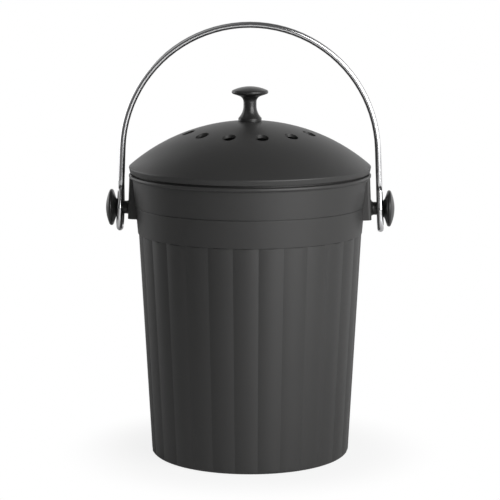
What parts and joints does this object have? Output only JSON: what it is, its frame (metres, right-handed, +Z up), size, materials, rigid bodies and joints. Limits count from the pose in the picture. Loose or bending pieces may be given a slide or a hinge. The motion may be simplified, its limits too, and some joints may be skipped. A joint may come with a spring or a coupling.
{
  "type": "compost caddy",
  "caption": "Kitchen compost caddy: a drafted, reeded pail with a lift-off vented dome lid, a pull knob, a charcoal filter under the lid and a swinging wire bail.",
  "frame": {"origin": "middle of the base, on the surface that the foot ring stands on", "axes": "+Z up along the pail's axis, -Y towards the front, +X to the right; the bail turns about a line along X"},
  "size_m": [0.2318, 0.1938, 0.3488],
  "materials": {
    "body_plastic": "satin, fine moulded grain",
    "knob_plastic": "semi-gloss",
    "cage_plastic": "satin",
    "bail_chrome": "polished",
    "screw_steel": "plain",
    "insert_brass": "plain",
    "filter_charcoal": "open foam with charcoal"
  },
  "bodies": {
    "pail": {"pail": "body_plastic", "pivot_knob_left": "knob_plastic", "pivot_knob_right": "knob_plastic", "pivot_insert_left": "insert_brass", "pivot_insert_right": "insert_brass", "pivot_screw_left": "screw_steel", "pivot_screw_right": "screw_steel", "pivot_washer_left": "screw_steel", "pivot_washer_right": "screw_steel"},
    "bail": {"bail_arch": "bail_chrome", "bail_end_left": "bail_chrome", "bail_end_right": "bail_chrome"},
    "lid": {"lid": "body_plastic", "lid_plug": "body_plastic", "lid_knob": "knob_plastic", "lid_knob_insert": "insert_brass", "lid_knob_screw": "screw_steel", "lid_knob_washer": "screw_steel", "cage_ring": "body_plastic"},
    "filter": {"filter_cage": "cage_plastic", "carbon_filter": "filter_charcoal"}
  },
  "joints": [
    {"name": "bail_swing", "type": "hinge", "parent": "pail", "child": "bail", "pos_m": [0, 0, 0.2], "axis": [1, 0, 0], "range_deg": [-143.5, 143.5]},
    {"name": "lid_lift", "type": "slide", "parent": "pail", "child": "lid", "axis": [0, 0, 1], "range_m": [0, 0.032]},
    {"name": "filter_cage_twist", "type": "hinge", "parent": "lid", "child": "filter", "pos_m": [0, 0, 0.245], "axis": [0, 0, 1], "range_deg": [0, 25]}
  ]
}
